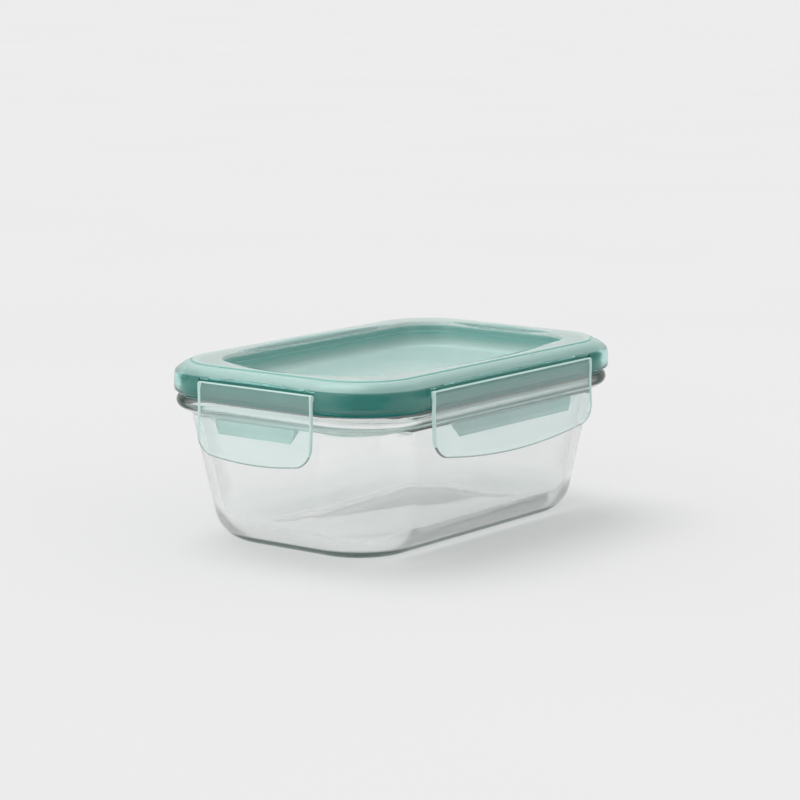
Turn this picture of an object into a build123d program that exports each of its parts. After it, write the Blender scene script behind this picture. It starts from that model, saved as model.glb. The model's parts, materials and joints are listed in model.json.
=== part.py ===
"""Rectangular glass food box with a clear latching lid: tub, lid, silicone gasket and four side latches.

Millimetres, +Z up. The origin is the middle of the base, +X runs along the long side.
A cross-section of the rim is drawn as (u, z): u is the distance inward from the lid's outline.
"""

import math
import os

from build123d import *

# Lid outline, which every cross-section is measured from
LID_LENGTH = 190.0
LID_WIDTH = 125.4
LID_CORNER = 32.4

# Heights above the base
GLASS_TOP = 63.9
GASKET_BOTTOM = GLASS_TOP + 0.05
SKIRT_BOTTOM = 65.3
SKIRT_TOP = 74.2
RIM_TOP = 78.0
WELL_FLOOR = 66.8

# Glass tub
TUB_TOP = (178.2, 115.8, 27.6)  # outer length, width and corner radius at GLASS_TOP
TUB_BASE = (161.0, 98.6, 33.0)  # the same where the walls would meet the table
TUB_WALL = 3.9
TUB_FLOOR = 5.5
TUB_HEEL = 15.0  # outer radius between wall and base
TUB_HEEL_INSIDE = 12.0
FOOT_RING = 9.0  # width of the ring that touches the table
FOOT_RECESS = 0.6
FOOT_CORNER = 12.0
BEAD_OUT = 1.0  # u of the bead's widest line
BEAD_WIDEST = 60.8
BEAD_LOW = (4.6, 57.2)
BEAD_ROOT = (7.2, 56.3)
BEAD_INSIDE = 8.6  # u where the bead ends inside the wall

# Lid shell
SKIRT_WALL = 2.7
SHOULDER = 6.8  # u where the sloping shoulder meets the flat rim
PLATE = 1.9
PLUG_OUT = 11.3  # u of the plug ring's outer face
PLUG_WALL = 1.4
PLUG_BOTTOM = 62.4
BACKING_BOTTOM = 73.2  # underside of the thicker band around the well
WELL_INSET = 17.9
WELL_CORNER = 21.0
WELL_DRAFT = 5.0
WELL_WALL = 1.8
WELL_FILLET = 3.5
SCOOP_REACH = 8.0  # how far a scoop runs back from the well's edge
RECESS_DEPTH = 1.7
RECESS_TOP = 72.8
RECESS_GAP = 0.5

# Gasket, a channel that stands on the glass
GASKET_OUT = 3.0
GASKET_IN = 11.0
GASKET_WALL = 1.5
GASKET_FLANGE = 2.4
GASKET_TOP = 72.8
GASKET_INNER_TOP = 75.9

# Latches
LATCH_THICK = 1.6
LATCH_BOTTOM = 40.1
LATCH_CORNER = 9.0
LATCH_FLARE = 1.3  # how far the finger edge leans out
HINGE_U = 0.0
HINGE_Z = 71.1
BARREL_R = 1.3
CATCH_TOP = 57.0
CATCH_NOSE = 56.0
CATCH_BOTTOM = 51.2
CATCH_TIP = 3.4  # u of the catch's nose
CATCH_END_SLOPE = 2.0  # how much shorter each end is at the bottom

# Outward direction, distance from the middle, latch width, catch width, bow of the bottom edge, scoop depth
SIDES = {
    "front": ((0, -1, 0), LID_WIDTH / 2, 115.2, 84.0, 5.0, 1.8),
    "back": ((0, 1, 0), LID_WIDTH / 2, 115.2, 84.0, 5.0, 1.8),
    "left": ((-1, 0, 0), LID_LENGTH / 2, 61.0, 43.0, 3.0, 1.4),
    "right": ((1, 0, 0), LID_LENGTH / 2, 61.0, 43.0, 3.0, 1.4),
}


def outline(inset, mode=Mode.ADD):
    """The lid's outline moved inward, drawn into the sketch that is open."""
    RectangleRounded(LID_LENGTH - 2 * inset, LID_WIDTH - 2 * inset, LID_CORNER - inset, mode=mode)


def section_plane(side, shift=0.0):
    """The (u, z) plane of one side, moved along the side by shift."""
    outward, reach = SIDES[side][:2]
    inward = -Vector(*outward)
    along = inward.cross(Vector(0, 0, 1))
    return Plane(Vector(*outward) * reach + along * shift, x_dir=inward, z_dir=along)


def elevation_plane(side, inset=0.0):
    """The plane of one side seen square on, at one inset: x along the side, y up, normal inward."""
    outward, reach = SIDES[side][:2]
    inward = -Vector(*outward)
    along = Vector(0, 0, 1).cross(inward)
    return Plane(Vector(*outward) * (reach - inset), x_dir=along, z_dir=inward)


def rim_path():
    """The lid's outline as a closed path that starts in the middle of the front side."""
    x = LID_LENGTH / 2 - LID_CORNER
    y = LID_WIDTH / 2 - LID_CORNER
    with BuildLine() as path:
        Line((0, -LID_WIDTH / 2), (x, -LID_WIDTH / 2))
        CenterArc((x, -y), LID_CORNER, -90, 90)
        Line((LID_LENGTH / 2, -y), (LID_LENGTH / 2, y))
        CenterArc((x, y), LID_CORNER, 0, 90)
        Line((x, LID_WIDTH / 2), (-x, LID_WIDTH / 2))
        CenterArc((-x, y), LID_CORNER, 90, 90)
        Line((-LID_LENGTH / 2, y), (-LID_LENGTH / 2, -y))
        CenterArc((-x, -y), LID_CORNER, 180, 90)
        Line((-x, -LID_WIDTH / 2), (0, -LID_WIDTH / 2))
    return path.wire()


def tub_size(z, wall=0.0):
    """Length, width and corner radius of the tub's outside at height z, less a wall."""
    share = z / GLASS_TOP
    length, width, corner = (low + (high - low) * share for low, high in zip(TUB_BASE, TUB_TOP))
    return length - 2 * wall, width - 2 * wall, corner - wall


def tapered_block(bottom, top, wall, heel):
    """A solid between two heights that follows the tub's taper, with a rounded heel."""
    with BuildPart() as block:
        with BuildSketch(Plane.XY.offset(bottom)):
            RectangleRounded(*tub_size(bottom, wall))
        with BuildSketch(Plane.XY.offset(top)):
            RectangleRounded(*tub_size(top, wall))
        loft(ruled=True)
        fillet(block.faces().sort_by(Axis.Z)[0].edges(), heel)
    return block.part


def make_tub():
    cavity = tapered_block(TUB_FLOOR, GLASS_TOP + 1, TUB_WALL, TUB_HEEL_INSIDE)
    with BuildPart() as tub:
        add(tapered_block(0, GLASS_TOP, 0, TUB_HEEL))
        with BuildSketch(section_plane("front")):
            with BuildLine():
                Polyline(BEAD_ROOT, (BEAD_INSIDE, BEAD_ROOT[1]), (BEAD_INSIDE, GLASS_TOP), (3.2, GLASS_TOP))
                ThreePointArc((3.2, GLASS_TOP), (1.65, 62.9), (BEAD_OUT, BEAD_WIDEST))
                ThreePointArc((BEAD_OUT, BEAD_WIDEST), (2.1, 58.5), BEAD_LOW)
                Line(BEAD_LOW, BEAD_ROOT)
            make_face()
        sweep(path=rim_path())
        add(cavity, mode=Mode.SUBTRACT)
        fillet(tub.faces().sort_by(Axis.Z)[-1].inner_wires()[0].edges(), 1.2)
        with BuildSketch(Plane.XY):
            length, width, _ = tub_size(0, TUB_HEEL + FOOT_RING)
            RectangleRounded(length, width, FOOT_CORNER)
        extrude(amount=FOOT_RECESS, mode=Mode.SUBTRACT)
    tub.part.label = "glass_tub"
    return tub.part


def well_size(z, extra=0.0):
    """Length, width and corner radius of the stacking well at height z, grown by extra."""
    inset = WELL_INSET + (RIM_TOP - z) * math.tan(math.radians(WELL_DRAFT)) - extra
    return LID_LENGTH - 2 * inset, LID_WIDTH - 2 * inset, WELL_CORNER + extra


def well_block(bottom, top, extra, heel):
    """The well's tapered shape between two heights, with a rounded bottom edge."""
    with BuildPart() as block:
        with BuildSketch(Plane.XY.offset(bottom)):
            RectangleRounded(*well_size(bottom, extra))
        with BuildSketch(Plane.XY.offset(top)):
            RectangleRounded(*well_size(top, extra))
        loft(ruled=True)
        fillet(block.faces().sort_by(Axis.Z)[0].edges(), heel)
    return block.part


def scoop_cutter(side):
    """A round-bottomed trough that dips the rim's inner edge in the middle of one side."""
    outward, _, span, _, _, depth = SIDES[side]
    slope = math.atan(depth / SCOOP_REACH)
    start = WELL_INSET + 2.0
    high = RIM_TOP - 2.0 * math.tan(slope)
    low = high - depth
    direction = Vector(*outward) * math.cos(slope) + Vector(0, 0, math.sin(slope))
    with BuildPart() as trough:
        with BuildSketch(elevation_plane(side, start)):
            with BuildLine():
                ThreePointArc((-span / 2, high), (0, low), (span / 2, high))
                Polyline((span / 2, high), (span / 2, high + 6), (-span / 2, high + 6), (-span / 2, high))
            make_face()
        extrude(amount=SCOOP_REACH + 6, dir=direction)
    return trough.part


def recess_cutter(side):
    """The shallow pocket in the skirt that a latch lies in."""
    span = SIDES[side][2]
    with BuildPart() as pocket:
        with BuildSketch(section_plane(side)):
            with BuildLine():
                Polyline(
                    (-3, SKIRT_BOTTOM - 1),
                    (RECESS_DEPTH, SKIRT_BOTTOM - 1),
                    (RECESS_DEPTH, RECESS_TOP),
                    (0.0, RECESS_TOP + 1.5),
                    (-3, RECESS_TOP + 1.5),
                    close=True,
                )
            make_face()
        extrude(amount=span / 2 + RECESS_GAP, both=True)
    return pocket.part


def make_lid():
    well_outside = well_block(WELL_FLOOR - PLATE, RIM_TOP - 0.5, WELL_WALL, WELL_FILLET + 1.2)
    well_inside = well_block(WELL_FLOOR, RIM_TOP + 1, 0, WELL_FILLET)
    scoops = [scoop_cutter(side) for side in SIDES]
    recesses = [recess_cutter(side) for side in SIDES]
    with BuildPart() as lid:
        with BuildSketch(section_plane("front")):
            with BuildLine():
                Polyline((12, RIM_TOP - PLATE), (7.6, RIM_TOP - PLATE), (SKIRT_WALL, 73.2), (SKIRT_WALL, SKIRT_BOTTOM))
                Polyline((SKIRT_WALL, SKIRT_BOTTOM), (0.5, SKIRT_BOTTOM), (0, SKIRT_BOTTOM + 0.6), (0, 71.0))
                Spline((0, 71.0), (1.07, SKIRT_TOP), (SHOULDER, 77.6), tangents=((0, 1), (1, 0.25)))
                Polyline((SHOULDER, 77.6), (SHOULDER + 0.5, 77.6), (SHOULDER + 0.9, RIM_TOP), (12, RIM_TOP))
                Line((12, RIM_TOP), (12, RIM_TOP - PLATE))
            make_face()
        sweep(path=rim_path())
        with BuildSketch(Plane.XY.offset(RIM_TOP - PLATE)):
            outline(11.5)
        extrude(amount=PLATE)
        with BuildSketch(Plane.XY.offset(BACKING_BOTTOM)):
            outline(PLUG_OUT)
        extrude(amount=RIM_TOP - 0.5 - BACKING_BOTTOM)
        add(well_outside)
        with BuildSketch(Plane.XY.offset(PLUG_BOTTOM)):
            outline(PLUG_OUT)
            outline(PLUG_OUT + PLUG_WALL, mode=Mode.SUBTRACT)
        extrude(amount=RIM_TOP - 1 - PLUG_BOTTOM)
        add(well_inside, mode=Mode.SUBTRACT)
        add(scoops, mode=Mode.SUBTRACT)
        add(recesses, mode=Mode.SUBTRACT)
    lid.part.label = "lid_shell"
    return lid.part


def make_gasket():
    inner_left = GASKET_IN - GASKET_WALL
    outer_right = GASKET_OUT + GASKET_WALL
    flange = GASKET_BOTTOM + GASKET_FLANGE
    with BuildPart() as gasket:
        with BuildSketch(section_plane("front")):
            with BuildLine():
                Polyline(
                    (GASKET_OUT, GASKET_BOTTOM),
                    (GASKET_IN, GASKET_BOTTOM),
                    (GASKET_IN, GASKET_INNER_TOP),
                    (inner_left, GASKET_INNER_TOP),
                    (inner_left, flange),
                    (outer_right, flange),
                    (outer_right, GASKET_TOP),
                    (GASKET_OUT, GASKET_TOP),
                    close=True,
                )
            make_face()
        sweep(path=rim_path())
    gasket.part.label = "gasket"
    return gasket.part


def latch_blank(side):
    """The latch's bowed plate, cut to its outline."""
    _, _, span, _, bow, _ = SIDES[side]
    back = HINGE_U - BARREL_R + LATCH_THICK
    face = HINGE_U - BARREL_R
    with BuildPart() as blank:
        with BuildSketch(section_plane(side)):
            with BuildLine():
                ThreePointArc((face, HINGE_Z), (face + 0.05, 56.0), (face - LATCH_FLARE, LATCH_BOTTOM - 1))
                Line((face - LATCH_FLARE, LATCH_BOTTOM - 1), (back - LATCH_FLARE, LATCH_BOTTOM - 1))
                ThreePointArc((back - LATCH_FLARE, LATCH_BOTTOM - 1), (back + 0.05, 56.0), (back, HINGE_Z))
                Line((back, HINGE_Z), (face, HINGE_Z))
            make_face()
        extrude(amount=span / 2, both=True)
        with BuildSketch(elevation_plane(side, -8)) as face_outline:
            with BuildLine():
                ThreePointArc((-span / 2, LATCH_BOTTOM + bow), (0, LATCH_BOTTOM), (span / 2, LATCH_BOTTOM + bow))
                Line((span / 2, LATCH_BOTTOM + bow), (span / 2, HINGE_Z + 5))
                Line((span / 2, HINGE_Z + 5), (-span / 2, HINGE_Z + 5))
                Line((-span / 2, HINGE_Z + 5), (-span / 2, LATCH_BOTTOM + bow))
            make_face()
            fillet(face_outline.vertices().group_by(Axis.Z)[0], LATCH_CORNER)
        extrude(amount=16, mode=Mode.INTERSECT)
    return blank.part


def make_latch(side):
    _, _, span, catch, _, _ = SIDES[side]
    back = HINGE_U - BARREL_R + LATCH_THICK
    with BuildPart() as rib:
        with BuildSketch(section_plane(side)):
            with BuildLine():
                Polyline(
                    (back - 0.6, CATCH_TOP),
                    (CATCH_TIP, CATCH_TOP),
                    (CATCH_TIP, CATCH_NOSE),
                    (back - 0.6, CATCH_BOTTOM),
                    close=True,
                )
            make_face()
        extrude(amount=catch / 2, both=True)
        with BuildSketch(elevation_plane(side, -8)):
            with BuildLine():
                Polyline(
                    (-catch / 2, CATCH_TOP + 1),
                    (catch / 2, CATCH_TOP + 1),
                    (catch / 2 - CATCH_END_SLOPE, CATCH_BOTTOM),
                    (-catch / 2 + CATCH_END_SLOPE, CATCH_BOTTOM),
                    close=True,
                )
            make_face()
        extrude(amount=16, mode=Mode.INTERSECT)
    with BuildPart() as latch:
        add(latch_blank(side))
        with BuildSketch(section_plane(side)):
            with Locations((HINGE_U, HINGE_Z)):
                Circle(BARREL_R)
        extrude(amount=span / 2, both=True)
        add(rib.part)
    latch.part.label = f"latch_{side}"
    return latch.part


def main():
    os.makedirs("parts", exist_ok=True)
    pieces = [make_tub(), make_lid(), make_gasket()] + [make_latch(side) for side in SIDES]
    for piece in pieces:
        export_step(piece, f"parts/{piece.label}.step")


if __name__ == "__main__":
    main()
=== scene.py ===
"""Looks of a rectangular glass food box with a clear latching lid, built around its CAD frame.

Sizes are in millimetres until new_object() turns them into metres. u is a distance inward from
the lid's outline.
"""

import json
import math

import bmesh
import bpy
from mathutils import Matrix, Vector


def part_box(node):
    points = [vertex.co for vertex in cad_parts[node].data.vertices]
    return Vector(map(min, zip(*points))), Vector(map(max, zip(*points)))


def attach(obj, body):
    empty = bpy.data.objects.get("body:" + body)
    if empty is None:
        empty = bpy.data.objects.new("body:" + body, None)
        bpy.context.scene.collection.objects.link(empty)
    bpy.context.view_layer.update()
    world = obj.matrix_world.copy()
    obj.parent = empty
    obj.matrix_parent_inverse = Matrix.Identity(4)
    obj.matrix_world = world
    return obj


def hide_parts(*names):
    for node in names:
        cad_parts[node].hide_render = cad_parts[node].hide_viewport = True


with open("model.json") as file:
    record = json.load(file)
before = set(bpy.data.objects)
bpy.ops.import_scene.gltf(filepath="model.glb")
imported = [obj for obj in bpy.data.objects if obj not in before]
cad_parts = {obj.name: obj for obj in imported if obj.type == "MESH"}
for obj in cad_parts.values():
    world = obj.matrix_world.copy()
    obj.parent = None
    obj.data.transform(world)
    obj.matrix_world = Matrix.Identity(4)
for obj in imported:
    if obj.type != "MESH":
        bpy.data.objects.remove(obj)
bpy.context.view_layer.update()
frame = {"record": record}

MM = 0.001

# ---------------------------------------------------------------------------
# Sizes read from the frame, and those that several pieces share
# ---------------------------------------------------------------------------

LID_LOW, LID_HIGH = [[v / MM for v in corner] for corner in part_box("lid_shell")]
GLASS_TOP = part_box("glass_tub")[1][2] / MM
HALF_X = round(LID_HIGH[0], 1)
HALF_Y = round(LID_HIGH[1], 1)
RIM_TOP = LID_HIGH[2]
CORNER = 32.4
JOINTS = {j["name"]: j for j in frame["record"]["behaviour"]["joints"]}
HINGE_Z = JOINTS["left_latch_hinge"]["pos_m"][2] / MM

# Latch width, catch width, bow of the latch's lower edge, depth of the finger scoop
LONG_LATCH = (115.2, 84.0, 5.0, 1.8)
SHORT_LATCH = (61.0, 43.0, 3.0, 1.4)
# Side: outward unit vector, distance of the lid's face, and the latch's four sizes
SIDES = {
    "front": ((0, -1), HALF_Y, *LONG_LATCH),
    "right": ((1, 0), HALF_X, *SHORT_LATCH),
    "back": ((0, 1), HALF_Y, *LONG_LATCH),
    "left": ((-1, 0), HALF_X, *SHORT_LATCH),
}
RECESS_GAP = 0.5              # room between a latch's end and the end of its recess in the skirt
RECESS_END = 0.15             # length over which the recess ends
RECESS_ANGLES = (1.05, 1.32)  # the same end on a short side, in degrees before it turns straight


# ---------------------------------------------------------------------------
# Mesh helpers
# ---------------------------------------------------------------------------

def cos_deg(angle):
    return math.cos(math.radians(angle))


def sin_deg(angle):
    return math.sin(math.radians(angle))


def clamp(value, low=0.0, high=1.0):
    return min(high, max(low, value))


def spread(low, high, count):
    return [low + (high - low) * i / (count - 1) for i in range(count)]


def new_object(name, verts, faces, material, smooth_angle=40):
    mesh = bpy.data.meshes.new(name)
    mesh.from_pydata([[c * MM for c in v] for v in verts], [], faces)
    mesh.validate()
    work = bmesh.new()
    work.from_mesh(mesh)
    bmesh.ops.recalc_face_normals(work, faces=work.faces)
    work.to_mesh(mesh)
    work.free()
    obj = bpy.data.objects.new(name, mesh)
    bpy.context.scene.collection.objects.link(obj)
    mesh.materials.append(material)
    mesh.shade_smooth()
    mesh.set_sharp_from_angle(angle=math.radians(smooth_angle))
    return obj


def side_marks(straight, latch, count):
    """Fractions along a straight side, with pairs of marks where a latch's recess ends."""
    marks = spread(-1, 1, count)
    end = (latch / 2 + RECESS_GAP) / straight
    if end < 1:
        for sign in (-1, 1):
            marks += [sign * end, sign * (end - RECESS_END / straight)]
    return sorted(marks)


LONG_MARKS = side_marks(HALF_X - CORNER, LONG_LATCH[0], 49)
SHORT_MARKS = side_marks(HALF_Y - CORNER, SHORT_LATCH[0], 27)
# Angles of a corner's points, from its long side to its short side
ARC_TO_SHORT = sorted(spread(0, 90, 25)[1:-1] + [90 - a for a in RECESS_ANGLES])


def arc_points(cx, cy, radius, angles):
    return [(cx + radius * cos_deg(a), cy + radius * sin_deg(a)) for a in angles]


def ring(half_x, half_y, radius):
    """Points of a rounded rectangle, counter-clockwise from the front side's left end."""
    x = half_x - radius
    y = half_y - radius
    points = [(x * t, -half_y) for t in LONG_MARKS]
    points += arc_points(x, -y, radius, [a - 90 for a in ARC_TO_SHORT])
    points += [(half_x, y * t) for t in SHORT_MARKS]
    points += arc_points(x, y, radius, [90 - a for a in reversed(ARC_TO_SHORT)])
    points += [(-x * t, half_y) for t in LONG_MARKS]
    points += arc_points(-x, y, radius, [a + 90 for a in ARC_TO_SHORT])
    points += [(-half_x, -y * t) for t in SHORT_MARKS]
    points += arc_points(-x, -y, radius, [270 - a for a in reversed(ARC_TO_SHORT)])
    return points


def skin(count, loops, closed=False):
    """Quads between loops of count points each; closed also joins the last loop to the first."""
    faces = []
    for a in range(loops if closed else loops - 1):
        b = (a + 1) % loops
        for i in range(count):
            j = (i + 1) % count
            faces.append((a * count + i, b * count + i, b * count + j, a * count + j))
    return faces


def caps(count, loops):
    """The two end faces of a skin."""
    return [tuple(range(count)), tuple(reversed(range((loops - 1) * count, loops * count)))]


def shell_mesh(name, rings, material, closed=False, shape=None, masks=None, smooth_angle=40):
    """A skin through rings of (half_x, half_y, radius, z), capped at both ends or closed on itself.

    shape moves a point. masks gives, by name, a function of a point and where it was moved to,
    whose value is kept in the mesh for its material.
    """
    verts = []
    masks = masks or {}
    values = {key: [] for key in masks}
    for half_x, half_y, radius, z in rings:
        for x, y in ring(half_x, half_y, radius):
            verts.append(shape(x, y, z) if shape else (x, y, z))
            for key, value_at in masks.items():
                values[key].append(value_at(x, y, z, verts[-1]))
    count = len(verts) // len(rings)
    faces = skin(count, len(rings), closed)
    if not closed:
        faces += caps(count, len(rings))
    obj = new_object(name, verts, faces, material, smooth_angle)
    for key, value in values.items():
        layer = obj.data.attributes.new(key, "FLOAT", "POINT")
        layer.data.foreach_set("value", value)
    return obj


def inset_ring(u, z, radius=None):
    """The lid's outline moved inward by u."""
    return (HALF_X - u, HALF_Y - u, CORNER - u if radius is None else radius, z)


# ---------------------------------------------------------------------------
# Material helpers
# ---------------------------------------------------------------------------

def material(name, base, roughness, **sockets):
    mat = bpy.data.materials.new(name)
    mat.use_nodes = True
    shader = mat.node_tree.nodes["Principled BSDF"]
    shader.inputs["Base Color"].default_value = (*base, 1)
    shader.inputs["Roughness"].default_value = roughness
    for key, value in sockets.items():
        shader.inputs[key.replace("_", " ")].default_value = value
    return mat, mat.node_tree, shader


def add_node(tree, kind, **settings):
    node = tree.nodes.new(kind)
    for key, value in settings.items():
        setattr(node, key, value)
    return node


def mask_value(tree, name):
    """The socket of a mask that shell_mesh() kept in the mesh."""
    return add_node(tree, "ShaderNodeAttribute", attribute_name=name).outputs["Fac"]


def noise(tree, scale, detail=3.0, roughness=0.5, stretch=None):
    """A noise in metres of the object's own space."""
    coords = add_node(tree, "ShaderNodeTexCoord")
    node = add_node(tree, "ShaderNodeTexNoise")
    node.inputs["Scale"].default_value = scale
    node.inputs["Detail"].default_value = detail
    node.inputs["Roughness"].default_value = roughness
    if stretch:
        mapping = add_node(tree, "ShaderNodeMapping")
        mapping.inputs["Scale"].default_value = stretch
        tree.links.new(coords.outputs["Object"], mapping.inputs["Vector"])
        tree.links.new(mapping.outputs["Vector"], node.inputs["Vector"])
    else:
        tree.links.new(coords.outputs["Object"], node.inputs["Vector"])
    return node.outputs["Fac"]


def ramp(tree, source, low_colour, high_colour, low=0.3, high=0.7):
    node = add_node(tree, "ShaderNodeValToRGB")
    node.color_ramp.elements[0].position = low
    node.color_ramp.elements[1].position = high
    node.color_ramp.elements[0].color = (*low_colour, 1)
    node.color_ramp.elements[1].color = (*high_colour, 1)
    tree.links.new(source, node.inputs["Fac"])
    return node.outputs["Color"]


def bump(tree, source, shader, strength, distance):
    node = add_node(tree, "ShaderNodeBump")
    node.inputs["Strength"].default_value = strength
    node.inputs["Distance"].default_value = distance
    tree.links.new(source, node.inputs["Height"])
    tree.links.new(node.outputs["Normal"], shader.inputs["Normal"])


def moulded_grain(tree, shader, scale, strength):
    bump(tree, noise(tree, scale, detail=2.0), shader, strength, distance=0.0002)


def blend_values(tree, share, low, high):
    """A number that goes from low to high with share; each may be a number or a socket."""
    node = add_node(tree, "ShaderNodeMapRange")
    for name, value in (("To Min", low), ("To Max", high)):
        if isinstance(value, float):
            node.inputs[name].default_value = value
        else:
            tree.links.new(value, node.inputs[name])
    tree.links.new(share, node.inputs["Value"])
    return node.outputs["Result"]


def blend_colours(tree, share, low, high):
    """A colour that goes from low to high with share; each may be a colour or a socket."""
    node = add_node(tree, "ShaderNodeMix", data_type="RGBA")
    for socket, value in ((node.inputs[6], low), (node.inputs[7], high)):
        if isinstance(value, tuple):
            socket.default_value = (*value, 1)
        else:
            tree.links.new(value, socket)
    tree.links.new(share, node.inputs[0])
    return node.outputs[2]


def mix_into_surface(tree, share, low_shader, high_shader):
    """What the surface shows goes from one shader to the other with share."""
    mix = add_node(tree, "ShaderNodeMixShader")
    tree.links.new(share, mix.inputs["Fac"])
    tree.links.new(low_shader.outputs["BSDF"], mix.inputs[1])
    tree.links.new(high_shader.outputs["BSDF"], mix.inputs[2])
    tree.links.new(mix.outputs["Shader"], tree.nodes["Material Output"].inputs["Surface"])


def let_lamps_through(tree, shader, share, tint):
    """Lamp light passes as through real clear material, which the shader alone would make black."""
    path = add_node(tree, "ShaderNodeLightPath")
    clear = add_node(tree, "ShaderNodeBsdfTransparent")
    clear.inputs["Color"].default_value = (*tint, 1)
    factor = add_node(tree, "ShaderNodeMath", operation="MULTIPLY")
    factor.inputs[1].default_value = share
    tree.links.new(path.outputs["Is Shadow Ray"], factor.inputs[0])
    mix_into_surface(tree, factor.outputs[0], shader, clear)


def cloudy_material(name, base, roughness, cloud_scale, colours, gloss,
                    detail=3.0, limits=(0.3, 0.7), **sockets):
    """A material whose colour and roughness drift a little with a soft noise."""
    mat, tree, shader = material(name, base, roughness, **sockets)
    cloud = noise(tree, cloud_scale, detail)
    tree.links.new(ramp(tree, cloud, *colours, *limits), shader.inputs["Base Color"])
    tree.links.new(blend_values(tree, cloud, *gloss), shader.inputs["Roughness"])
    return mat, tree, shader


# ---------------------------------------------------------------------------
# Materials
# ---------------------------------------------------------------------------

GLASS_CLEAR = ((0.970, 0.988, 0.980), (0.988, 0.996, 0.993))
# Near-black green: the glass's own green with painted shade and dark reflection, for its low edge and
# where it is seen edge on
GLASS_GREEN_SHADE = (0.07, 0.115, 0.095)
LID_WALLS = ((0.45, 0.85, 0.79), (0.50, 0.87, 0.815))
# Paler, greyer tops: the lid's haze with a painted sky sheen
LID_TOPS = ((0.62, 0.755, 0.715), (0.67, 0.785, 0.75))
# Painted shade in teal, for the step line, well's wall, scoops, latch recesses and under the skirt
LID_SHADE = (0.18, 0.55, 0.49)
LATCH_COLOURS = ((0.84, 0.945, 0.93), (0.88, 0.965, 0.955))
# Colours of the painted highlight on the latches' edges
LATCH_EDGE_HIGHLIGHTS = ((0.55, 0.76, 0.71), (0.64, 0.82, 0.78))
CATCH_COLOURS = ((0.70, 0.91, 0.87), (0.77, 0.94, 0.91))
TEAL = ((0.0005, 0.14, 0.12), (0.001, 0.175, 0.15))
LATCH_LIGHT = (0.9, 0.97, 0.95)  # tint of lamp light that has passed through a latch


def green_and_shade_share(tree):
    """How dark green the glass is painted from outside: its own green deepened into painted shade and
    dark reflection, on the heel's low edge and where it is seen edge on.
    """
    grazing = add_node(tree, "ShaderNodeMapRange", interpolation_type="SMOOTHSTEP")
    grazing.inputs["From Min"].default_value = 0.25
    grazing.inputs["From Max"].default_value = 0.60
    facing = add_node(tree, "ShaderNodeLayerWeight")
    tree.links.new(facing.outputs["Facing"], grazing.inputs["Value"])
    both = add_node(tree, "ShaderNodeMath", operation="MULTIPLY_ADD", use_clamp=True)
    tree.links.new(grazing.outputs["Result"], both.inputs[0])
    tree.links.new(mask_value(tree, "outline"), both.inputs[1])
    tree.links.new(mask_value(tree, "low_edge"), both.inputs[2])
    seen_from = add_node(tree, "ShaderNodeNewGeometry")
    outside = add_node(tree, "ShaderNodeMath", operation="SUBTRACT", use_clamp=True)
    tree.links.new(both.outputs[0], outside.inputs[0])
    tree.links.new(seen_from.outputs["Backfacing"], outside.inputs[1])
    return outside.outputs[0]


def glass_material():
    mat, tree, shader = material("clear_glass", (0.975, 0.99, 0.985), 0.0,
                                 Transmission_Weight=1.0, IOR=1.5)
    waves = noise(tree, 28.0, detail=2.0, roughness=0.4, stretch=(1.0, 1.0, 0.6))
    clear = ramp(tree, waves, *GLASS_CLEAR)
    green_shade = green_and_shade_share(tree)
    # Painted fill light: a milky share that lowers the glass's transmission
    fill_share = blend_values(tree, mask_value(tree, "milky_fill"), 1.0, 0.87)
    for socket, low, high in (("Transmission Weight", fill_share, 0.30), ("Specular IOR Level", 0.5, 0.05)):
        tree.links.new(blend_values(tree, green_shade, low, high), shader.inputs[socket])
    tree.links.new(blend_colours(tree, green_shade, clear, GLASS_GREEN_SHADE), shader.inputs["Base Color"])
    bump(tree, waves, shader, strength=0.15, distance=0.0003)
    let_lamps_through(tree, shader, share=0.9, tint=(0.97, 0.985, 0.98))
    return mat


def lid_material():
    """Clear where the haze mask is 0, milky and paler where it is 1, partly a painted sky sheen on the
    upward faces, and painted teal shade where the shade mask is 1.
    """
    mat, tree, shader = material("aqua_polypropylene", (0.80, 0.95, 0.91), 0.1,
                                 Transmission_Weight=0.9, IOR=1.49, Specular_IOR_Level=0.25)
    haze_and_sheen = mask_value(tree, "haze_and_sheen")
    cloud = noise(tree, 45.0)
    plain = blend_colours(tree, haze_and_sheen, ramp(tree, cloud, *LID_WALLS), ramp(tree, cloud, *LID_TOPS))
    tree.links.new(blend_colours(tree, mask_value(tree, "shade"), plain, LID_SHADE),
                   shader.inputs["Base Color"])
    for socket, low, high in (("Transmission Weight", 0.985, 0.40), ("Roughness", 0.07, 0.30)):
        tree.links.new(blend_values(tree, haze_and_sheen, low, high), shader.inputs[socket])
    moulded_grain(tree, shader, scale=2600.0, strength=0.03)
    let_lamps_through(tree, shader, share=0.85, tint=(0.92, 0.97, 0.95))
    return mat


def latch_material():
    mat, tree, shader = cloudy_material(
        "clear_latch_plastic", (0.90, 0.97, 0.95), 0.06, cloud_scale=60.0,
        colours=LATCH_COLOURS, gloss=(0.04, 0.09), Transmission_Weight=0.93, IOR=1.46)
    moulded_grain(tree, shader, scale=1800.0, strength=0.03)
    let_lamps_through(tree, shader, share=0.7, tint=LATCH_LIGHT)
    return mat


def edge_highlight_material():
    """Latch edges: painted highlight, a less clear, more diffuse finish of the same plastic that
    catches lamp light, standing in for the light it carries out along its cut edges.
    """
    mat, tree, shader = cloudy_material(
        "latch_edge_highlight", (0.80, 0.95, 0.91), 0.25, cloud_scale=160.0,
        colours=LATCH_EDGE_HIGHLIGHTS, gloss=(0.18, 0.3), limits=(0.35, 0.65),
        Transmission_Weight=0.15, IOR=1.46)
    let_lamps_through(tree, shader, share=0.6, tint=LATCH_LIGHT)
    return mat


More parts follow.
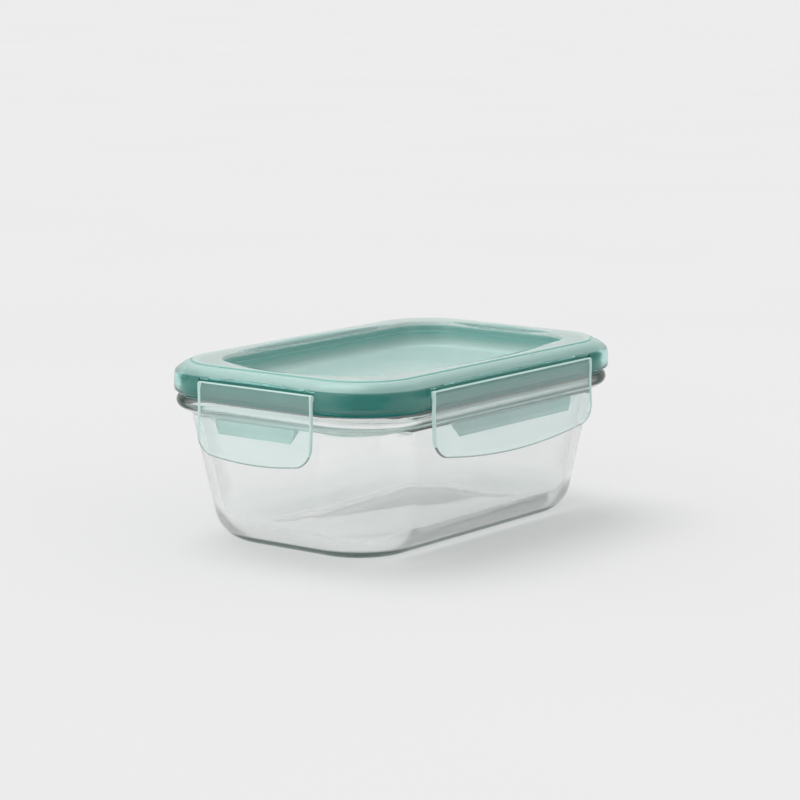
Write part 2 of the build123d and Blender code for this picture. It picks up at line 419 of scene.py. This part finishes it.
def catch_material():
    mat, tree, shader = cloudy_material(
        "catch_plastic", (0.74, 0.93, 0.89), 0.25, cloud_scale=80.0,
        colours=CATCH_COLOURS, gloss=(0.2, 0.3), Transmission_Weight=0.62, IOR=1.46)
    let_lamps_through(tree, shader, share=0.6, tint=LATCH_LIGHT)
    return mat


def gasket_material():
    mat, tree, shader = cloudy_material(
        "teal_silicone", (0.001, 0.215, 0.18), 0.35, cloud_scale=70.0,
        colours=TEAL, gloss=(0.38, 0.5), detail=4.0, Specular_IOR_Level=0.25)
    moulded_grain(tree, shader, scale=3000.0, strength=0.08)
    return mat


GLASS = glass_material()
LID = lid_material()
LATCH = latch_material()
CATCH = catch_material()
EDGE_HIGHLIGHT = edge_highlight_material()
SILICONE = gasket_material()


# ---------------------------------------------------------------------------
# Glass tub
# ---------------------------------------------------------------------------

WALL_AT_BASE = (80.5, 49.3, 33.0)  # half length, half width and corner radius of the outer wall
WALL_AT_TOP = (89.1, 57.9, 27.6)
WALL_LEAN = 7.67                   # degrees from upright
WALL = 3.9                         # thickness
FLOOR = 5.5                        # thickness
OUTER_HEEL = 15.0                  # radius between base and wall
INNER_HEEL = 12.0
MOUTH = 1.2                        # radius of the mouth's inner edge

CLEAR_FOOT = (64, 33)              # half sizes of the part of the underside that stays clear
DARK_EDGE_TOP, DARK_EDGE_FADE = 5.4, 1.4   # height where the painted dark low edge ends, and its soft band
WALL_SHADE_FROM = 16               # height where the wall's painted dark outline starts to show
NECK_Z, BEAD_Z, MOUTH_Z = 57, 59, 63.7  # heights where the bead's neck, the bead and its top start
# Edge-on darkness of the bead's neck, the bead's top and the walls: painted dark reflection with the
# glass's own green
NECK_GREEN_SHADE, MOUTH_GREEN_SHADE, WALL_GREEN_SHADE = 0.35, 0.3, 0.2
# Painted fill light: a milky share in the glass, most in its base, so that it renders lighter where
# trapped light would leave it dark
RIM_FILL_FADE_FROM, RIM_FADE = 50, 6        # height where the rim's painted fill starts to fade out, and its soft band
BASE_FILL_TOP, BASE_FADE = 22, 8       # height below which the base's painted fill grows, and its soft band
WALL_FILL = 0.25


def wall_ring(z, inward=0.0, height=None):
    """The tapered wall's ring at height z, moved inward; height moves only the ring."""
    share = z / GLASS_TOP
    x, y, r = (low + (high - low) * share for low, high in zip(WALL_AT_BASE, WALL_AT_TOP))
    return (x - inward, y - inward, max(r - inward, 1.0), z if height is None else height)


def heel(radius, base, wall, start, end, steps):
    """Rings round the edge between floor and wall."""
    lean = math.atan((WALL_AT_TOP[0] - WALL_AT_BASE[0]) / GLASS_TOP)
    rings = []
    for a in spread(start, end, steps):
        inward = wall + radius / math.cos(lean) - radius * cos_deg(a)
        rings.append(wall_ring(base + radius, inward, base + radius + radius * sin_deg(a)))
    return rings


def low_edge(x, y, z, moved):
    """1 on the lowest part of the outer heel: painted shade for the dark contact under the heel that
    the view sees through the glass, with the thick glass's own green.
    """
    if z < 0.05 or abs(x) < CLEAR_FOOT[0] and abs(y) < CLEAR_FOOT[1]:
        return 0.0
    return clamp((DARK_EDGE_TOP - z) / DARK_EDGE_FADE)


def outline(x, y, z, moved):
    """How dark the glass is painted edge on, a painted reflection of the dark studio with the glass's
    own green: the solid bead most, its neck and top less, walls least.
    """
    if z > NECK_Z:
        return NECK_GREEN_SHADE if z < BEAD_Z else 1.0 if z < MOUTH_Z else MOUTH_GREEN_SHADE
    return WALL_GREEN_SHADE * clamp((z - WALL_SHADE_FROM) / 4)


def milky_fill(x, y, z, moved):
    """Painted fill light: how milky the glass is made so that it catches lamp light where light
    trapped in the thick glass would render dark, the base most, the walls less, the rim not at all.
    """
    if z > RIM_FILL_FADE_FROM:
        return WALL_FILL * max(0.0, (RIM_FILL_FADE_FROM + RIM_FADE - z) / RIM_FADE)
    return WALL_FILL + (1 - WALL_FILL) * clamp((BASE_FILL_TOP - z) / BASE_FADE)


def make_tub():
    foot = [(56.5, 25.3, 10.0, 0.6), (56.9, 25.7, 10.4, 0.45), (57.3, 26.1, 10.8, 0.1),
            (57.9, 26.7, 11.2, 0.0)]
    bead = [(6.85, 56.2), (6.5, 56.45), (5.9, 56.7), (5.0, 57.0), (4.0, 57.35), (3.0, 57.85),
            (2.1, 58.5), (1.5, 59.3), (1.12, 60.1), (1.0, 60.8), (1.05, 61.5), (1.25, 62.2),
            (1.65, 62.9), (2.3, 63.5), (3.2, 63.85), (4.0, GLASS_TOP)]
    rings = foot + heel(OUTER_HEEL, 0.0, 0.0, -90, -WALL_LEAN, 26)
    rings += [wall_ring(z) for z in (22, 32, 42, 50, 54, 55.6)]
    rings += [inset_ring(u, z) for u, z in bead]
    rings += [wall_ring(GLASS_TOP - MOUTH + MOUTH * sin_deg(a), WALL - MOUTH + MOUTH * cos_deg(a))
              for a in (90, 70, 50, 30, 10)]
    rings += [wall_ring(z, WALL) for z in (60, 54, 46, 36, 26, 20)]
    rings += heel(INNER_HEEL, FLOOR, WALL, -WALL_LEAN, -90, 12)
    x, y, r, z = rings[-1]
    rings += [(x - 8, y - 8, max(r - 8, 4), z), (x - 20, y - 20, 6, z)]
    tub = shell_mesh("tub_glass_body", rings, GLASS, smooth_angle=50,
                     masks={"low_edge": low_edge, "outline": outline, "milky_fill": milky_fill})
    tub.visible_diffuse = False
    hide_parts("glass_tub")
    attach(tub, "tub")


# ---------------------------------------------------------------------------
# Lid
# ---------------------------------------------------------------------------

WELL_INSET = 17.9                # the well's wall at the rim's height
WELL_FLOOR = 66.8
WELL_CORNER = 21.0
DRAFT = math.tan(math.radians(5))
WELL_GAP = 1.8                   # thickness of the well's wall
FLOOR_SKIN = 1.9                 # thickness of the well's floor
LIP = 0.7                        # radius of the lip round the well
LIP_CENTRE = (17.23, 77.3)
LIP_CORNER = 21.2
RIM_FROM, RIM_TO = 17.2, 8.2     # the flat rim, from the well to the step line
SHOULDER_EDGE = 74.2
SKIRT_BOTTOM = LID_LOW[2] + 2.9
RECESS = 1.7                     # depth of the skirt's recess behind a latch
RECESS_ROOF, ROOF_BOW = 72.9, 1.3  # height of the recess's roof at its ends, and how far it rises
ROOF_STEP = 1.1                  # height over which the recess fades out
SCOOP_REACH = 8.0                # how far a finger scoop slopes
SCOOP_FROM, SCOOP_TO = 9, 19     # u of the rings that a scoop may press down
SCOOP_LOW = 72                   # and the height that they lie above

IN_RIM = 14                      # u that parts the outer walls from the well
WELL_TOP = 76.0                  # height that parts the well from the rim
WELL_CHANGE = 75.5               # height on the well's wall where haze and shade start to change
STEP_FROM, STEP_TO = 7.1, 7.9    # u of the step line's riser
# Haze values; where high, the milky tops also carry a painted sky sheen
FLOOR_HAZE, SKIRT_HAZE, SHOULDER_HAZE = 0.75, 0.04, 0.55
WELL_HAZE, WELL_HAZE_GAIN = 0.30, 0.40  # at the top of the well's wall, and what it gains below
SCOOP_CLEARING = 0.95            # how much haze a scoop loses
STEP_SHADE, WELL_SHADE, SCOOP_SHADE = 0.8, 0.75, 0.8


def side_of(x, y):
    """The nearest side, the distance along it and the inset from the lid's face."""
    if HALF_X - abs(x) < HALF_Y - abs(y):
        return ("right" if x > 0 else "left"), y, HALF_X - abs(x)
    return ("back" if y > 0 else "front"), x, HALF_Y - abs(y)


def shape_lid(x, y, z):
    """Press the latches' recesses into the skirt and the finger scoops into the rim."""
    side, along, inset = side_of(x, y)
    outward, _, latch, _, _, depth = SIDES[side]
    share = abs(along) / (latch / 2 + RECESS_GAP - 0.1)
    if share < 1 and inset < RECESS:
        roof = RECESS_ROOF + ROOF_BOW * (1 - share * share)
        deep = RECESS * clamp((roof + ROOF_STEP - z) / ROOF_STEP)
        move = max(0.0, deep - inset)
        return x - outward[0] * move, y - outward[1] * move, z
    if z > SCOOP_LOW and SCOOP_FROM < inset < SCOOP_TO and abs(along) < latch / 2:
        dip = depth * (1 - (2 * along / latch) ** 2)
        scoop = RIM_TOP - dip + (WELL_INSET - inset) * depth / SCOOP_REACH
        return x, y, min(z, scoop)
    return x, y, z


def true_inset(x, y):
    """Distance inward from the lid's outline, round its corners too."""
    dx = abs(x) - HALF_X + CORNER
    dy = abs(y) - HALF_Y + CORNER
    if dx > 0 and dy > 0:
        return CORNER - math.hypot(dx, dy)
    return min(HALF_X - abs(x), HALF_Y - abs(y))


def lid_haze_and_sheen(x, y, z, moved):
    """Milky on the shoulder, flat rim and well's floor, the lid's own haze with a painted sky sheen on
    these upward faces; clear on the skirt and in the scoops.
    """
    inset = true_inset(x, y)
    if z < WELL_FLOOR + 0.6 and inset > SCOOP_TO:
        return FLOOR_HAZE
    if z < SHOULDER_EDGE - 0.3 and inset < IN_RIM:
        return SKIRT_HAZE if inset < 1 else 0.0
    if z < WELL_TOP and inset > IN_RIM:
        return WELL_HAZE + WELL_HAZE_GAIN * clamp((WELL_CHANGE - z) / 7.5)
    if inset < STEP_FROM:
        return SHOULDER_HAZE
    return 1.0 - SCOOP_CLEARING * clamp((z - moved[2]) / 0.5)


def lid_shade(x, y, z, moved):
    """Painted teal shade: on the step line, high on the well's wall and in the scoops, where it also
    stands for thicker plastic; full in the latch recesses and under the skirt.
    """
    inset = true_inset(x, y)
    if STEP_FROM < inset < STEP_TO and RIM_TOP - 1 < z < RIM_TOP - 0.02:
        return STEP_SHADE
    if z < WELL_TOP and inset > IN_RIM:
        return WELL_SHADE * clamp(1 - (WELL_CHANGE - z) / 6)
    in_recess = abs(moved[0] - x) + abs(moved[1] - y) > 0.15
    if z < SKIRT_BOTTOM + 0.65 and inset < 3 or in_recess and z > 71.5:
        return 1.0
    if z > 77.2 and inset > SCOOP_FROM:
        return clamp((z - moved[2]) * 1.4, 0.0, SCOOP_SHADE)
    return 0.0


def well_ring(z, extra=0.0, height=None):
    """The well's tapered wall at height z, moved outward; height moves only the ring."""
    inset = WELL_INSET + (RIM_TOP - z) * DRAFT - extra
    return inset_ring(inset, z if height is None else height, WELL_CORNER + extra)


def well_fillet(radius, centre_z, extra, start, end, steps):
    """Rings round the edge between the well's floor and wall."""
    rings = []
    for a in spread(start, end, steps):
        lean = radius * (1 + cos_deg(a))
        rings.append(well_ring(centre_z, extra - lean, centre_z + radius * sin_deg(a)))
    return rings


def rim_rings():
    """The lip round the well, then the flat rim, whose corner radius grows outward."""
    lip_u, lip_z = LIP_CENTRE
    rings = [inset_ring(lip_u + LIP * cos_deg(a), lip_z + LIP * sin_deg(a), LIP_CORNER)
             for a in (22, 45, 67, 90)]
    for u in (16.6, 15.9, 15.2, 14.5, 13.8, 13.1, 12.4, 11.7, 11.0, 10.4, 9.8, 9.2):
        share = (RIM_FROM - u) / (RIM_FROM - RIM_TO)
        rings.append(inset_ring(u, RIM_TOP, LIP_CORNER + (CORNER - RIM_TO - LIP_CORNER) * share))
    return rings


def make_lid():
    rings = [inset_ring(34, WELL_FLOOR, 12), inset_ring(28, WELL_FLOOR, 15),
             inset_ring(24, WELL_FLOOR, 16.5)]
    rings += well_fillet(3.5, 70.3, 0.0, -90, -180, 8)
    rings += [well_ring(z) for z in (71.5, 73.0, 74.4, 75.6, 76.6, 77.3)]
    rings += rim_rings()
    step = [(8.0, RIM_TOP), (7.85, RIM_TOP - 0.03), (7.65, RIM_TOP - 0.2), (7.5, RIM_TOP - 0.75),
            (7.2, RIM_TOP - 0.75), (7.05, 77.5)]
    shoulder = [(6.8, 77.52), (6.2, 77.33), (5.2, 76.92), (4.0, 76.35), (2.9, 75.65), (2.0, 74.98),
                (1.4, 74.5), (1.07, SHOULDER_EDGE)]
    skirt = [(0.72, 73.75), (0.45, 73.2), (0.28, 72.6), (0.15, 71.9), (0.05, 70.9), (0.0, 69.6),
             (0.0, 67.6), (0.0, 66.3), (0.06, 65.9), (0.25, 65.5), (0.6, SKIRT_BOTTOM),
             (2.5, SKIRT_BOTTOM)]
    channel = [(2.7, 65.6), (2.7, 69.0), (2.7, 72.9), (3.0, 73.4), (7.4, 76.0), (8.0, 76.1),
               (11.0, 76.1), (11.3, 75.8), (11.3, 69.0), (11.3, 63.0)]
    inner_rib = [(11.6, 62.5), (12.0, 62.4), (12.4, 62.5), (12.7, 63.0), (12.7, 68.0),
                 (12.7, 73.0), (12.9, 73.2)]
    rings += [inset_ring(u, z) for u, z in step + shoulder + skirt + channel + inner_rib]
    rings += [well_ring(z, WELL_GAP) for z in (73.2, 70.5)]
    rings += well_fillet(5.0, 69.9, WELL_GAP, -175, -90, 7)
    rings += [inset_ring(28, WELL_FLOOR - FLOOR_SKIN, 15), inset_ring(34, WELL_FLOOR - FLOOR_SKIN, 12)]
    lid = shell_mesh("lid_body", rings, LID, shape=shape_lid, smooth_angle=35,
                     masks={"haze_and_sheen": lid_haze_and_sheen, "shade": lid_shade})
    lid.visible_diffuse = False
    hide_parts("lid_shell")
    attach(lid, "lid")


def make_gasket():
    loop = [(3.3, 63.95), (10.7, 63.95), (11.0, 64.25), (11.0, 75.6), (10.7, 75.9), (9.8, 75.9),
            (9.5, 75.6), (9.5, 66.8), (9.1, 66.35), (4.9, 66.35), (4.5, 66.8), (4.5, 73.7),
            (4.2, 73.75), (3.2, 73.3), (3.0, 73.1), (3.0, 64.25)]
    gasket = shell_mesh("gasket_ring", [inset_ring(u, z) for u, z in loop], SILICONE,
                        closed=True, smooth_angle=50)
    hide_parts("gasket")
    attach(gasket, "lid")


# ---------------------------------------------------------------------------
# Latches
# ---------------------------------------------------------------------------

BARREL = 1.3          # radius of the round top at the hinge
THICK = 1.6
LATCH_BOTTOM = 40.1
LATCH_CORNER = 9.0
FLARE = 1.2           # how far the lower edge stands out
FLARE_FROM = 0.32     # where the flare starts, as a share of the way down
HOLLOW = 0.12         # how far the plate bends in above the flare
EDGE_BAND = 0.9       # width of the edge with the painted highlight

CATCH_TOP = 57.0
CATCH_HEIGHT = 5.8
CATCH_SLANT = 2.0     # how much shorter the catch is at its foot, at each end
CATCH_ROUND = 0.35    # rounding of its ends


def to_world(side, along, u, z):
    """A point from (along the side, inset, height); along grows to the right seen from outside."""
    (ox, oy), reach = SIDES[side][:2]
    out = reach - u
    return (ox * out - oy * along, oy * out + ox * along, z)


def lean_out(z):
    """How far the latch's middle surface stands out at height z."""
    down = max(0.0, HINGE_Z - z) / (HINGE_Z - LATCH_BOTTOM)
    flare = FLARE * max(0.0, down - FLARE_FROM) ** 1.6 / (1 - FLARE_FROM) ** 1.6
    return flare - HOLLOW * math.sin(math.pi * min(1.0, down * 2))


def lower_edge(along, half, bow):
    """Height of the latch's lower edge, with round corners."""
    z = LATCH_BOTTOM + bow * (along / half) ** 2
    over = abs(along) - (half - LATCH_CORNER)
    if over > 0:
        tilt = bow * (1 - ((half - LATCH_CORNER) / half) ** 2)
        drop = math.sqrt(max(0.0, LATCH_CORNER ** 2 - over ** 2))
        z = LATCH_BOTTOM + bow - tilt + LATCH_CORNER - drop
        z += tilt * over / LATCH_CORNER * 0.2
    return z


def latch_section(bottom, thin):
    """Closed loop of (u, z) for one slice of the latch, from its round top down its outside."""
    half = THICK / 2 * thin
    middle = -BARREL + THICK / 2
    barrel = BARREL * (0.55 + 0.45 * thin)
    low = bottom + half
    shift = middle - lean_out(low)
    heights = spread(HINGE_Z - 0.6, low, 16)
    loop = arc_points(0, HINGE_Z, barrel, (90, 115, 140, 165))
    loop += [(middle - half - lean_out(z), z) for z in heights]
    loop += [(shift - half * cos_deg(a), low - half * sin_deg(a)) for a in (30, 60, 90, 120, 150)]
    loop += [(middle + half - lean_out(z), z) for z in reversed(heights[1:])]
    loop += arc_points(0, HINGE_Z, barrel, (-55, -30, -5, 20, 45, 70))
    return loop


def latch_columns(half):
    """Positions along the latch, close together at its ends, and how thin each slice is."""
    middle = spread(0, half - LATCH_CORNER, 10)
    corner = [half - LATCH_CORNER + LATCH_CORNER * sin_deg(a) for a in spread(0, 78, 11)[1:]]
    rounding = [(half - 0.9, 1.0), (half - 0.35, 0.97), (half - 0.14, 0.85), (half - 0.04, 0.66),
                (half, 0.4)]
    columns = [(s, 1.0) for s in middle + corner if s < half - 1.0] + rounding
    return [(-s, t) for s, t in reversed(columns[1:])] + columns


def columns_mesh(name, verts, columns, material, smooth_angle):
    """A solid through equal loops of points that follow each other along a side."""
    count = len(verts) // columns
    faces = [(a, d, c, b) for a, b, c, d in skin(count, columns)]
    faces += [tuple(reversed(cap)) for cap in caps(count, columns)]
    return new_object(name, verts, faces, material, smooth_angle)


def make_latch(side):
    width, _, bow, _ = SIDES[side][2:]
    half = width / 2
    columns = latch_columns(half)
    verts = [to_world(side, along, u, z) for along, thin in columns
             for u, z in latch_section(lower_edge(along, half, bow), thin)]
    plate = columns_mesh(f"{side}_latch_plate", verts, len(columns), LATCH, smooth_angle=50)
    plate.data.materials.append(EDGE_HIGHLIGHT)
    axis = 0 if side in ("front", "back") else 1
    # The ends and the top take the painted edge highlight.
    for face in plate.data.polygons:
        along = sum(abs(verts[v][axis]) for v in face.vertices) / len(face.vertices)
        if along > half - EDGE_BAND or face.center.z > (HINGE_Z + EDGE_BAND) * MM:
            face.material_index = 1
    plate.visible_diffuse = False
    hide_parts(f"latch_{side}")
    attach(plate, f"{side}_latch")


def make_catch(side):
    """The wedge-shaped rib behind the plate, with slanted ends and softened edges."""
    half = SIDES[side][3] / 2
    root = -BARREL + THICK - 0.25
    section = [(root, CATCH_TOP), (3.15, CATCH_TOP), (3.4, CATCH_TOP - 0.25), (3.4, 56.2),
               (3.2, 55.8), (root, CATCH_TOP - CATCH_HEIGHT)]
    ends = [(-1, CATCH_ROUND), (-1, 0.0), (1, 0.0), (1, CATCH_ROUND)]
    verts = []
    for sign, extra in ends:
        shrink = extra * 0.25
        for u, z in section:
            slant = CATCH_SLANT * (CATCH_TOP - z) / CATCH_HEIGHT
            along = sign * (half - slant - CATCH_ROUND + extra)
            drop = 0.12 if extra and z > CATCH_TOP - 0.1 else 0
            verts.append(to_world(side, along, u * (1 - shrink) + root * shrink, z - drop))
    rib = columns_mesh(f"{side}_latch_catch", verts, len(ends), CATCH, smooth_angle=30)
    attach(rib, f"{side}_latch")


make_tub()
make_lid()
make_gasket()
for side_name in SIDES:
    make_latch(side_name)
    make_catch(side_name)


# ---------------------------------------------------------------------------
# Floor, light and camera
# ---------------------------------------------------------------------------

SKY_STRENGTH = 0.735
CARD_TARGET = (0, 0, 60)
LIGHT_BOUNCES = 24  # enough for light to cross the lid, the latches and both glass walls


def quad(name, corners, mat):
    return new_object(name, corners, [(0, 1, 2, 3)], mat)


def matt_material(name, grey):
    return material(name, (grey, grey, grey), 1.0, Specular_IOR_Level=0.0)


def hide_from(obj, *rays):
    for ray in rays:
        setattr(obj, "visible_" + ray, False)


def make_floor():
    mat, tree, shader = material("pale_floor", (0.80, 0.80, 0.80), 0.9, Specular_IOR_Level=0.0)
    cloud = noise(tree, 3.0, detail=2.0)
    tree.links.new(ramp(tree, cloud, (0.795, 0.795, 0.795), (0.805, 0.805, 0.805)),
                   shader.inputs["Base Color"])
    far = 40000
    floor = quad("floor", [(-far, -far, 0), (far, -far, 0), (far, far, 0), (-far, far, 0)], mat)


def make_card(name, centre, width, height):
    """A dark card with soft edges outside the view, which only reflections show."""
    mat, tree, shader = matt_material(name + "_paper", 0.01)
    coords = add_node(tree, "ShaderNodeTexCoord")
    mapping = add_node(tree, "ShaderNodeMapping")
    mapping.inputs["Scale"].default_value = (2 / (width * MM), 2 / (height * MM), 1.0)
    fade = add_node(tree, "ShaderNodeTexGradient", gradient_type="SPHERICAL")
    soft = add_node(tree, "ShaderNodeMapRange", interpolation_type="SMOOTHSTEP")
    soft.inputs["From Max"].default_value = 0.6
    tree.links.new(coords.outputs["Object"], mapping.inputs["Vector"])
    tree.links.new(mapping.outputs["Vector"], fade.inputs["Vector"])
    tree.links.new(fade.outputs["Fac"], soft.inputs["Value"])
    clear = add_node(tree, "ShaderNodeBsdfTransparent")
    mix_into_surface(tree, soft.outputs["Result"], clear, shader)
    x, y = width / 2, height / 2
    card = quad(name, [(-x, -y, 0), (x, -y, 0), (x, y, 0), (-x, y, 0)], mat)
    place = Vector(centre) * MM
    card.location = place
    card.rotation_euler = (Vector(CARD_TARGET) * MM - place).to_track_quat("Z", "Y").to_euler()
    hide_from(card, "camera", "diffuse", "transmission", "shadow")


def make_shade():
    """A sheet in the tub that only keeps sky light off the floor, for the clear glass's shadow."""
    mat, _, _ = matt_material("front_shade_paper", 0.3)
    left, right, y, low, high = -58, 66, -44, 5, 54
    sheet = quad("front_shade",
                 [(left, y, low), (right, y, low), (right, y, high), (left, y, high)], mat)
    hide_from(sheet, "camera", "glossy", "transmission", "shadow")


def add_to_scene(name, data):
    obj = bpy.data.objects.new(name, data)
    bpy.context.scene.collection.objects.link(obj)
    return obj


def make_sun(name, energy, width, direction):
    """A soft sun; width is how many degrees wide it looks."""
    sun = bpy.data.lights.new(name, "SUN")
    sun.energy = energy
    sun.angle = math.radians(width)
    lamp = add_to_scene(name, sun)
    lamp.rotation_euler = Vector(direction).to_track_quat("-Z", "Y").to_euler()
    return sun


def make_light():
    world = bpy.data.worlds.new("studio")
    bpy.context.scene.world = world
    world.use_nodes = True
    world.node_tree.nodes["Background"].inputs["Color"].default_value = (1.0, 1.0, 1.0, 1)
    world.node_tree.nodes["Background"].inputs["Strength"].default_value = SKY_STRENGTH
    make_sun("key_sun", energy=0.9, width=40, direction=(0.0, -0.5, -1.25))
    left_sun = make_sun("left_sun", energy=0.5, width=60, direction=(1.0, -0.15, -0.35))
    left_sun.use_shadow = False


def make_camera():
    """The photo's view: from the front's left end, a little above the lid."""
    azimuth = -52.47
    elevation = 9.67
    distance = 1.194
    target = Vector((0.0009, -0.0012, 0.0546))
    back = Vector((sin_deg(azimuth) * cos_deg(elevation), -cos_deg(azimuth) * cos_deg(elevation),
                   sin_deg(elevation)))
    data = bpy.data.cameras.new("camera")
    data.lens = 122.9
    data.sensor_width = 36.0
    data.clip_end = 200
    camera = add_to_scene("camera", data)
    camera.location = target + back * distance
    camera.rotation_euler = (-back).to_track_quat("-Z", "Y").to_euler()
    bpy.context.scene.camera = camera


make_floor()
make_card("card_front", centre=(-330, -250, 110), width=900, height=560)
make_card("card_left", centre=(-130, 480, 150), width=420, height=420)
make_card("card_right", centre=(350, -360, 150), width=640, height=420)
make_shade()
make_light()
make_camera()
bpy.context.scene.view_settings.view_transform = "Standard"
bpy.context.scene.cycles.max_bounces = LIGHT_BOUNCES
bpy.context.scene.cycles.transmission_bounces = LIGHT_BOUNCES
